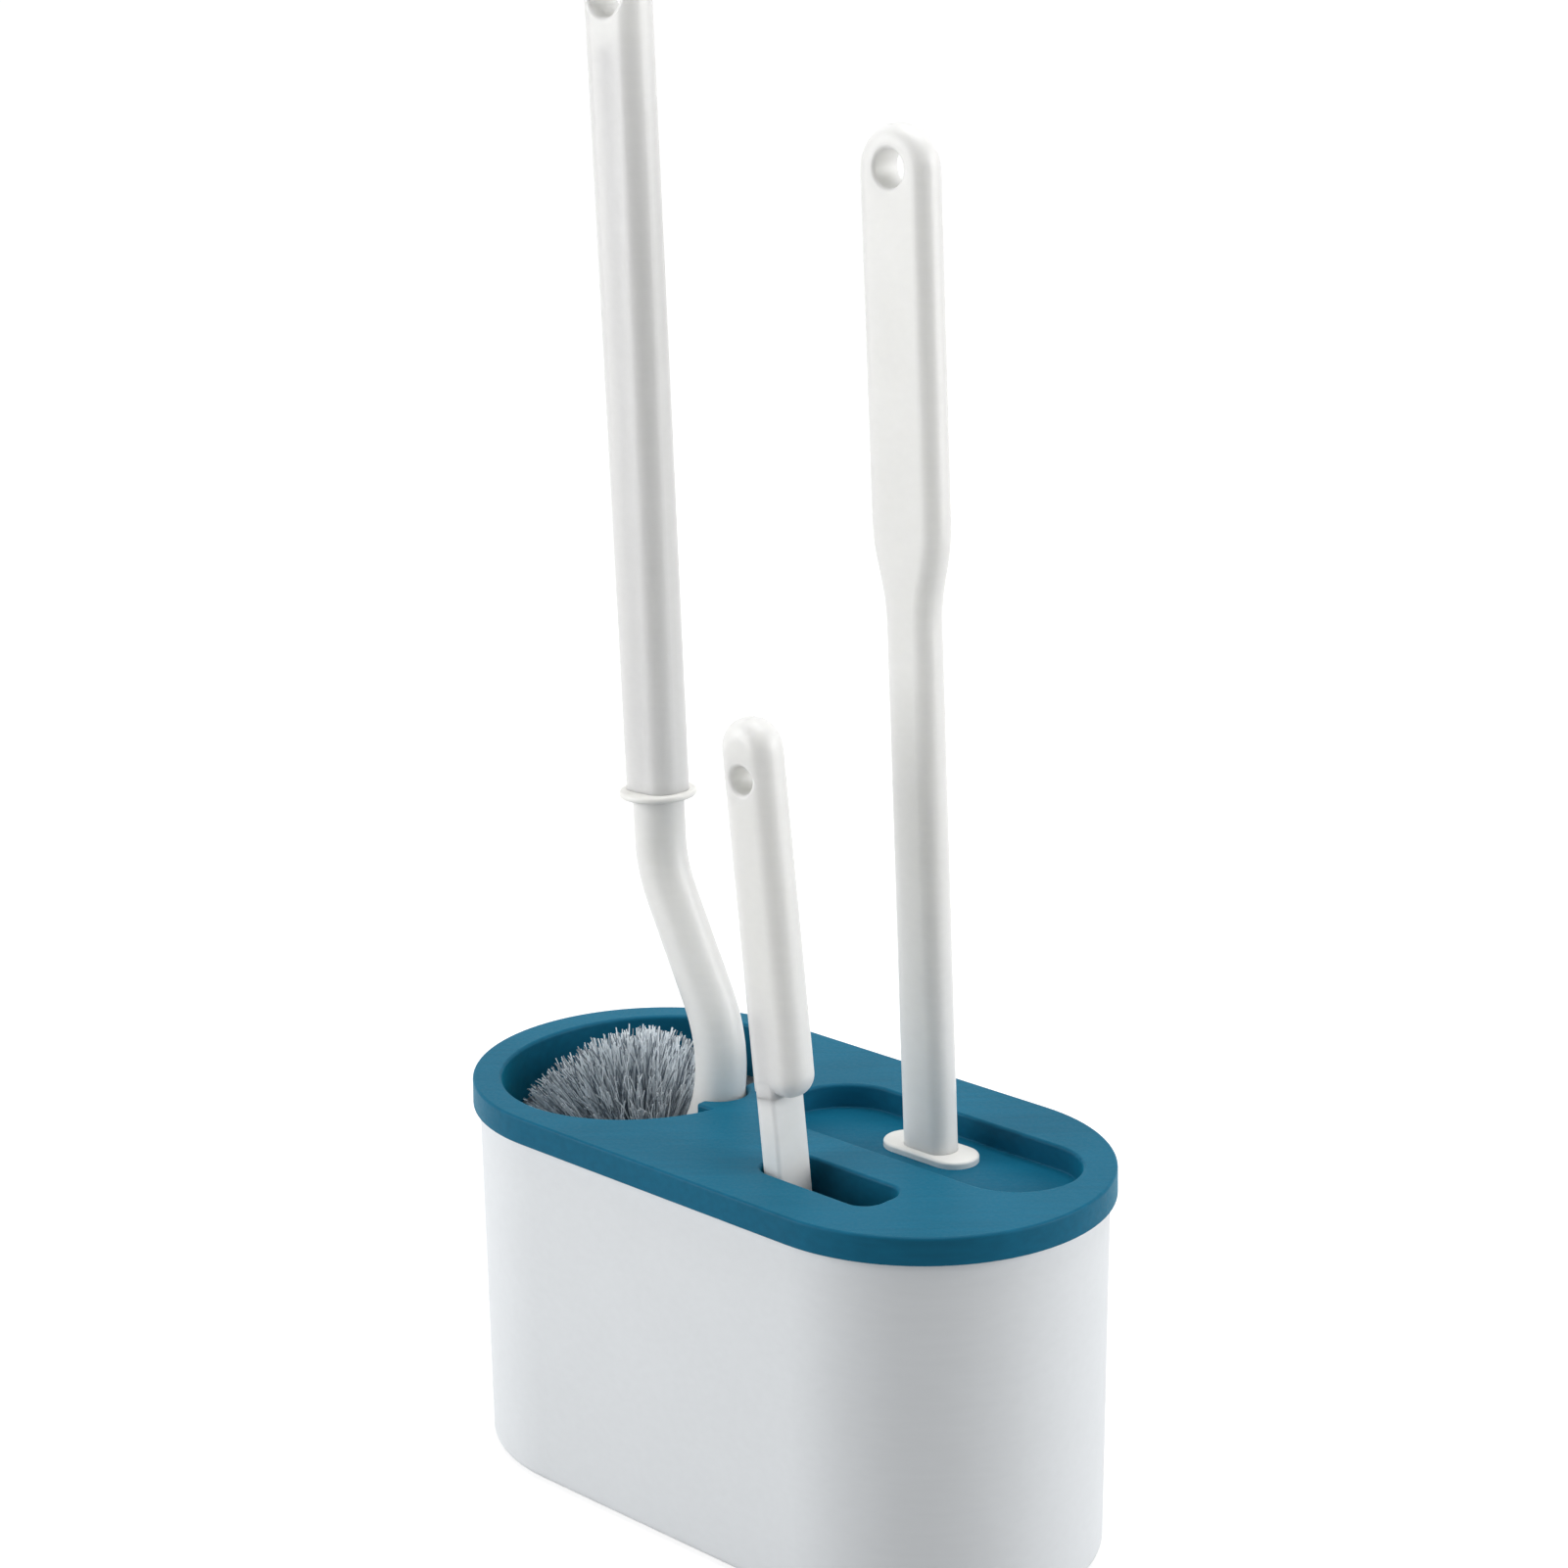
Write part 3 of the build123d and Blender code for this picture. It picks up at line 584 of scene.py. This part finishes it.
def round_head_places(sizes, chance, crown):
    """Roots and tips of the bristles on the round head's crown, or on its skirt, tuft by tuft."""
    low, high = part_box("round_bristles")
    core_low, core_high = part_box("round_core")
    middle_x = (low.x + high.x) / 2
    half_axes = ((high.x - low.x) / 2, (high.y - low.y) / 2)
    skin = (core_high.y - core_low.y) / 2
    top_z = high.z - sizes.head_crown
    foot_z = low.z + sizes.head_foot
    quarter = skin * math.pi / 2
    half = quarter + (top_z - foot_z) / 2
    if crown:
        start, pitch, strands, fan = 0.0, sizes.crown_pitch, sizes.crown_strands, sizes.crown_fan
    else:
        start, pitch, strands, fan = half, sizes.skirt_pitch, sizes.skirt_strands, sizes.skirt_fan
    rings = int(half / pitch)
    roots = []
    tips = []
    for ring in range(rings):
        # A ring's slope comes from its place along the core's outline: upper dome, straight side, lower dome
        along = start + (ring + 0.5) * half / rings
        if along < quarter:
            slope, ring_z, reach = (quarter - along) / skin, top_z, sizes.head_crown
        elif along < 2 * half - quarter:
            slope, ring_z, reach = 0.0, top_z + quarter - along, sizes.head_crown
        else:
            slope, ring_z, reach = (2 * half - quarter - along) / skin, foot_z, sizes.head_foot
        tufts = max(FEWEST_TUFTS, round(2 * math.pi * skin * math.cos(slope) / pitch))
        middle = np.array((middle_x, 0.0, ring_z))
        axes = np.array((*half_axes, reach))
        free = np.interp(math.degrees(slope), SHOULDER_SLOPES, FREE_REACH)
        near = np.interp(math.degrees(slope), SHOULDER_SLOPES, NECK_REACH)
        for tuft in range(tufts):
            turn = 2 * math.pi * (tuft + 0.5 * (ring % 2)) / tufts
            fans = chance.normal(0, fan, (strands, 2))
            ways = ways_out(slope + fans[:, 0], turn + fans[:, 1] / max(math.cos(slope), POLE_COSINE))
            aim = ways_out(slope, turn)
            roots.append(middle + (aim + ROOT_FAN * (ways - aim)) * (skin - sizes.sink))
            full = np.interp(math.cos(turn), NECK_SIDE, (free, near))
            tips.append(middle + ways * axes * full * chance.uniform(*HEAD_LENGTHS, (strands, 1)))
    return np.concatenate(roots), np.concatenate(tips)


def leaning_box(node, lean):
    """Corners of a CAD node's box along the axes of a brush that leans, and the turn to those axes."""
    turn = Matrix.Rotation(-lean, 3, "Y")
    corners = np.array([turn.inverted() @ vertex.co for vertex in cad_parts[node].data.vertices])
    return corners.min(axis=0), corners.max(axis=0), np.array(turn)


def round_upright_edges(plate, corner, edge):
    """Bevels a plate's upright edges to round corners."""
    bpy.ops.object.mode_set(mode="EDIT")
    bpy.ops.mesh.select_mode(type="EDGE")
    bpy.ops.mesh.select_all(action="DESELECT")
    bpy.ops.object.mode_set(mode="OBJECT")
    for line in plate.data.edges:
        ends = [plate.data.vertices[index].co for index in line.vertices]
        line.select = abs(ends[0].z - ends[1].z) > edge
    bpy.ops.object.mode_set(mode="EDIT")
    bpy.ops.mesh.bevel(offset=corner, segments=CORNER_STEPS)
    bpy.ops.object.mode_set(mode="OBJECT")


def model_plate(name, low, high, lean, corner, edge, material):
    """A plate between two corners on a leaning brush's axes, with rounded upright corners and soft edges."""
    middle = Matrix.Rotation(-lean, 3, "Y") @ Vector((low + high) / 2)
    bpy.ops.object.select_all(action="DESELECT")
    bpy.ops.mesh.primitive_cube_add(size=1.0, scale=Vector(high - low))
    plate = bpy.context.active_object
    plate.name = name
    bpy.ops.object.transform_apply(location=False, rotation=False, scale=True)
    if corner > 0:
        round_upright_edges(plate, corner, edge)
    bpy.ops.object.modifier_add(type="BEVEL")
    plate.modifiers["Bevel"].width = edge
    plate.modifiers["Bevel"].segments = EDGE_STEPS
    bpy.ops.object.modifier_apply(modifier="Bevel")
    bpy.ops.transform.rotate(value=lean, orient_axis="Y", center_override=(0, 0, 0))
    bpy.ops.transform.translate(value=middle)
    bpy.ops.object.transform_apply()
    plate.data.materials.append(material)
    return plate


def tuft_grid(width, depth, pitch):
    """Middles of tufts on a grid over a flat patch about zero."""
    columns = np.linspace(-width / 2, width / 2, round(width / pitch) + 1)
    rows = np.linspace(-depth / 2, depth / 2, round(depth / pitch) + 1)
    return [(along, side) for along in columns for side in rows]


def bare_edge(sizes):
    """Width of the edge that is left without tufts on the smaller brushes."""
    return 2 * sizes.thickness + TUFT_MARGIN


def tuft_of(foot, way, reach, sizes, chance):
    """Roots and tips of the bristles in one tuft of a smaller brush, which fan out a little."""
    count = sizes.small_strands
    aside = chance.normal(0, SMALL_SPREAD, (count, 3))
    aside -= np.outer(aside @ way, way)
    reaches = reach * chance.uniform(*SMALL_LENGTHS, (count, 1))
    return foot + aside - way * sizes.sink, foot + SMALL_TIP_SPREAD * aside + way * reaches


# Operators


class BRUSH_OT_mouldings(Operator):
    """Gives the cup, the lid, the handles and the small fittings their plastics"""

    bl_idname = "brush_holder.mouldings"
    bl_label = "Finish the mouldings"

    def execute(self, context):
        colours = context.scene.brush_holder.colours
        dress(CUP_NODES, moulded_plastic("cup_plastic", colours.cup, CUP_PLASTIC))
        dress(LID_NODES, moulded_plastic("lid_plastic", colours.lid, LID_PLASTIC))
        dress(HANDLE_NODES, moulded_plastic("handle_plastic", colours.handle, HANDLE_PLASTIC))
        dress(CREAM_NODES, moulded_plastic("cream_plastic", colours.cream, CREAM_PLASTIC))
        dress(CORE_NODES, moulded_plastic("core_plastic", colours.core, CORE_PLASTIC))
        return {"FINISHED"}


class BRUSH_OT_round_head(Operator):
    """Plants the tufts of the toilet brush's round head"""

    bl_idname = "brush_holder.round_head"
    bl_label = "Plant the round head"

    def execute(self, context):
        settings = context.scene.brush_holder
        sizes = settings.bristles
        chance = np.random.default_rng(sizes.seed)
        for part, crown in (("crown", True), ("skirt", False)):
            roots, tips = round_head_places(sizes, chance, crown)
            clear = clear_of_neck(roots, tips, sizes.neck_room)
            piece = plant_bristles(
                "round_head_" + part,
                roots[clear],
                tips[clear],
                HEAD_BOW,
                HEAD_CRIMP,
                sizes.thickness,
                bristle_material(part + "_filament", settings.colours),
                chance,
            )
            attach(piece, "toilet_brush")
            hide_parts("round_bristles")
        return {"FINISHED"}


class SmallBrush:
    """What the two smaller brushes share: a tuft plate, and tufts that stand square on it"""

    def plant(self, settings, node, body, filament, turn, plate, tufts):
        """Places one brush's plate and tufts, and lets the tufts stand for the CAD bristles."""
        sizes = settings.bristles
        chance = np.random.default_rng(sizes.seed)
        pairs = [tuft_of(turn @ foot, turn @ way, reach, sizes, chance) for foot, way, reach in tufts]
        piece = plant_bristles(
            node + "_tufts",
            np.concatenate([roots for roots, tips in pairs]),
            np.concatenate([tips for roots, tips in pairs]),
            SMALL_BOW,
            SMALL_CRIMP,
            sizes.thickness,
            bristle_material(filament, settings.colours),
            chance,
        )
        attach(piece, body)
        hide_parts(node)
        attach(plate, body)


class BRUSH_OT_gap_tufts(SmallBrush, Operator):
    """Plants the tufts on the gap brush's blade"""

    bl_idname = "brush_holder.gap_tufts"
    bl_label = "Plant the gap brush"

    def execute(self, context):
        settings = context.scene.brush_holder
        small = settings.small_brushes
        low, high, turn = leaning_box("gap_bristles", small.gap_lean)
        face = low[0] + small.gap_plate
        plate = model_plate(
            "gap_tuft_plate",
            low,
            np.array((face, *high[1:])),
            small.gap_lean,
            0.0,
            small.plate_edge,
            moulded_plastic("gap_plate_plastic", settings.colours.core, CORE_PLASTIC),
        )
        middle = (low + high) / 2
        patch = high - low - 2 * bare_edge(settings.bristles)
        way = np.array((1.0, 0.0, 0.0))
        tufts = [
            (np.array((face, middle[1] + side, middle[2] + up)), way, high[0] - face)
            for up, side in tuft_grid(patch[2], patch[1], settings.bristles.small_pitch)
        ]
        self.plant(settings, "gap_bristles", "gap_brush", "gap_filament", turn, plate, tufts)
        return {"FINISHED"}


class BRUSH_OT_flat_tufts(SmallBrush, Operator):
    """Plants the tufts under the flat brush's head"""

    bl_idname = "brush_holder.flat_tufts"
    bl_label = "Plant the flat brush"

    def execute(self, context):
        settings = context.scene.brush_holder
        small = settings.small_brushes
        low, high, turn = leaning_box("flat_bristles", small.flat_lean)
        face = high[2] - small.flat_plate
        end_radius = (high[1] - low[1]) / 2
        plate = model_plate(
            "flat_tuft_plate",
            np.array((*low[:2], face)),
            high,
            small.flat_lean,
            ROUND_END * end_radius,
            small.plate_edge,
            moulded_plastic("flat_plate_plastic", settings.colours.core, CORE_PLASTIC),
        )
        middle = (low + high) / 2
        margin = bare_edge(settings.bristles)
        patch = high - low - 2 * margin
        way = np.array((0.0, 0.0, -1.0))
        straight = (high[0] - low[0]) / 2 - end_radius
        tufts = [
            (np.array((middle[0] + along, middle[1] + side, face)), way, face - low[2])
            for along, side in tuft_grid(patch[0], patch[1], settings.bristles.small_pitch)
            if math.hypot(max(abs(along) - straight, 0), side) < end_radius - margin
        ]
        self.plant(settings, "flat_bristles", "flat_brush", "flat_filament", turn, plate, tufts)
        return {"FINISHED"}


class BRUSH_OT_stage(Operator):
    """Sets up the floor, the light and the camera"""

    bl_idname = "brush_holder.stage"
    bl_label = "Set up the studio"

    def execute(self, context):
        scene = context.scene
        studio = scene.brush_holder.studio
        bpy.ops.object.select_all(action="DESELECT")
        bpy.ops.mesh.primitive_plane_add(size=FLOOR_SIZE, location=(0, 0, -FLOOR_DROP))
        floor = context.active_object
        floor.name = "studio_floor"
        floor.data.materials.append(studio_white("studio_white"))
        self.softbox(scene, "left_softbox", LEFT_PLACE, studio.left_power)
        self.softbox(scene, "right_softbox", RIGHT_PLACE, studio.right_power)
        self.softbox(scene, "top_softbox", TOP_PLACE, studio.top_power)
        self.surroundings(scene, studio.ambient)
        self.camera(scene, studio)
        scene.view_settings.view_transform = "Standard"
        return {"FINISHED"}

    def softbox(self, scene, name, place, watts):
        """A square lamp that faces the middle of the holder."""
        lamp = bpy.data.lights.new(name, "AREA")
        lamp.energy = watts
        lamp.size = SOFTBOX_SIZE
        lamp_object = bpy.data.objects.new(name, lamp)
        aim = Vector(SOFTBOX_AIM) - Vector(place)
        lamp_object.location = place
        lamp_object.rotation_euler = aim.to_track_quat("-Z", "Y").to_euler()
        scene.collection.objects.link(lamp_object)

    def surroundings(self, scene, ambient):
        """A world that is white to the eye and lights the holder gently."""
        world = bpy.data.worlds.new("studio_world")
        world.use_nodes = True
        tree = world.node_tree
        background = tree.nodes["Background"]
        background.inputs["Color"].default_value = (1, 1, 1, 1)
        tree.links.new(seen_by_eye(tree, 1.0, ambient), background.inputs["Strength"])
        scene.world = world

    def camera(self, scene, studio):
        """The camera at the photograph's place and turn."""
        flat = Vector((math.sin(studio.azimuth), -math.cos(studio.azimuth), 0))
        back = flat * math.cos(studio.elevation) + Vector((0, 0, math.sin(studio.elevation)))
        level = Vector((math.cos(studio.azimuth), math.sin(studio.azimuth), 0))
        upright = back.cross(level)
        right = level * math.cos(studio.roll) + upright * math.sin(studio.roll)
        up = upright * math.cos(studio.roll) - level * math.sin(studio.roll)
        data = bpy.data.cameras.new("photo_camera")
        data.lens = studio.lens
        data.clip_end = CAMERA_REACH
        camera = bpy.data.objects.new("photo_camera", data)
        turn = Matrix((right, up, back)).transposed().to_4x4()
        camera.matrix_world = Matrix.Translation(studio.place) @ turn
        scene.collection.objects.link(camera)
        scene.camera = camera


class BRUSH_PT_panel(Panel):
    """Lists the steps that dress the brush holder"""

    bl_idname = "BRUSH_PT_panel"
    bl_label = "Brush Holder"
    bl_space_type = "VIEW_3D"
    bl_region_type = "UI"
    bl_category = "Brush Holder"

    def draw(self, context):
        for step in STEPS:
            self.layout.operator(step.bl_idname)


STEPS = (
    BRUSH_OT_mouldings,
    BRUSH_OT_round_head,
    BRUSH_OT_gap_tufts,
    BRUSH_OT_flat_tufts,
    BRUSH_OT_stage,
)
CLASSES = (
    HolderColours,
    BristleSizes,
    SmallBrushes,
    StudioSettings,
    HolderSettings,
    *STEPS,
    BRUSH_PT_panel,
)


def register():
    for item in CLASSES:
        bpy.utils.register_class(item)
    bpy.types.Scene.brush_holder = PointerProperty(type=HolderSettings)


def unregister():
    del bpy.types.Scene.brush_holder
    for item in reversed(CLASSES):
        bpy.utils.unregister_class(item)


def main():
    register()
    bpy.ops.brush_holder.mouldings()
    bpy.ops.brush_holder.round_head()
    bpy.ops.brush_holder.gap_tufts()
    bpy.ops.brush_holder.flat_tufts()
    bpy.ops.brush_holder.stage()


if __name__ == "__main__":
    main()
